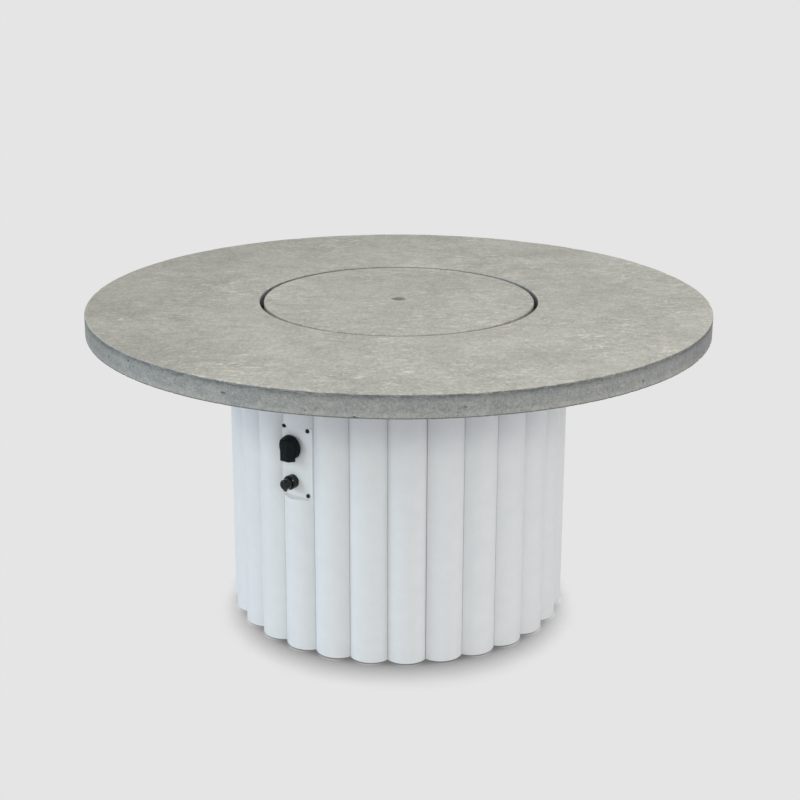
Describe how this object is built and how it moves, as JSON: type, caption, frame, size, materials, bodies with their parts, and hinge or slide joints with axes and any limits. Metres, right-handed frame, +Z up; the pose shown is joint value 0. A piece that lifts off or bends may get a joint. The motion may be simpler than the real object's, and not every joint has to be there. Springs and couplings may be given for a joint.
{
  "type": "fire pit table",
  "caption": "Round fire pit table: thick concrete top with a lift-off burner cover on a fluted round pedestal, with a small control plate carrying a gas knob and a push-button ignitor.",
  "frame": {"origin": "on the floor, on the axis of the round table", "axes": "+Z up; the control plate faces -Y and the access door faces +Y"},
  "size_m": [1.219, 1.2192, 0.6223],
  "materials": {
    "concrete": "cast concrete, fine trowelled face, sealed matt",
    "white_paint": "smooth white powder coat, satin",
    "galvanised": "galvanised sheet steel",
    "zinc": "zinc plated",
    "stainless": "stainless steel, brushed",
    "black_plastic": "fine textured black",
    "black_screw": "black oxide",
    "brass": "machined brass",
    "aluminium": "drawn tube and die-cast metal",
    "copper": "drawn copper",
    "ceramic": "unglazed white",
    "lava": "rough lava rock",
    "rubber": "black rubber",
    "silicone": "black high voltage lead",
    "spring_steel": "spring steel"
  },
  "bodies": {
    "pedestal": {"concrete_top": "concrete", "top_ring": "galvanised", "top_bolts": "zinc", "floor_plate": "galvanised", "floor_glides": "black_plastic", "tank_ring": "galvanised", "post_front_left": "galvanised", "post_front_right": "galvanised", "post_rear_left": "galvanised", "post_rear_right": "galvanised", "panel_rivets": "zinc", "front_panel": "white_paint", "left_panel": "white_paint", "right_panel": "white_paint", "control_plate": "white_paint", "plate_screws": "black_screw", "valve_screws": "zinc", "valve_body": "brass", "ignitor_body": "black_plastic", "ignitor_bezel": "black_plastic", "ignitor_spring": "spring_steel", "pan_wall": "stainless", "pan_floor": "stainless", "pan_screws": "stainless", "burner_ring": "stainless", "lava_bed": "lava", "electrode_bracket": "stainless", "spark_electrode": "ceramic", "thermocouple": "copper", "burner_elbow": "brass", "air_mixer": "aluminium", "orifice_fitting": "brass", "gas_tube": "aluminium", "ignition_lead": "silicone", "thermocouple_lead": "copper", "heat_shield": "galvanised", "shield_rods": "zinc", "hinge_fixed_leaves": "zinc", "hinge_pins": "zinc", "door_catch": "black_plastic"},
    "cover": {"burner_cover": "concrete", "cover_pads": "rubber"},
    "door": {"access_door": "white_paint", "hinge_door_leaves": "zinc", "catch_strike": "zinc", "door_pull": "black_plastic", "pull_screw": "zinc"},
    "plug": {"valve_plug": "brass", "valve_spring": "spring_steel"},
    "knob": {"control_knob": "black_plastic", "valve_stem": "brass", "knob_set_screw": "zinc"},
    "button": {"ignitor_button": "black_plastic"}
  },
  "joints": [
    {"name": "cover_lift", "type": "slide", "parent": "pedestal", "child": "cover", "axis": [0, 0, 1], "range_m": [0, 0.3]},
    {"name": "door_swing", "type": "hinge", "parent": "pedestal", "child": "door", "pos_m": [0.22978, 0.2319, 0.29], "axis": [0, 0, -1], "range_deg": [0, 100]},
    {"name": "knob_turn", "type": "hinge", "parent": "pedestal", "child": "plug", "pos_m": [-0.011, -0.2916, 0.4052], "axis": [0, -1, 0], "range_deg": [0, 180]},
    {"name": "knob_push", "type": "slide", "parent": "plug", "child": "knob", "axis": [0, 1, 0], "range_m": [0, 0.003], "stiffness_N_per_m": 1500, "springref_m": -0.002, "deforming": ["valve_spring"]},
    {"name": "ignitor_push", "type": "slide", "parent": "pedestal", "child": "button", "axis": [0, 1, 0], "range_m": [0, 0.006], "stiffness_N_per_m": 800, "springref_m": -0.003, "deforming": ["ignitor_spring"]}
  ]
}
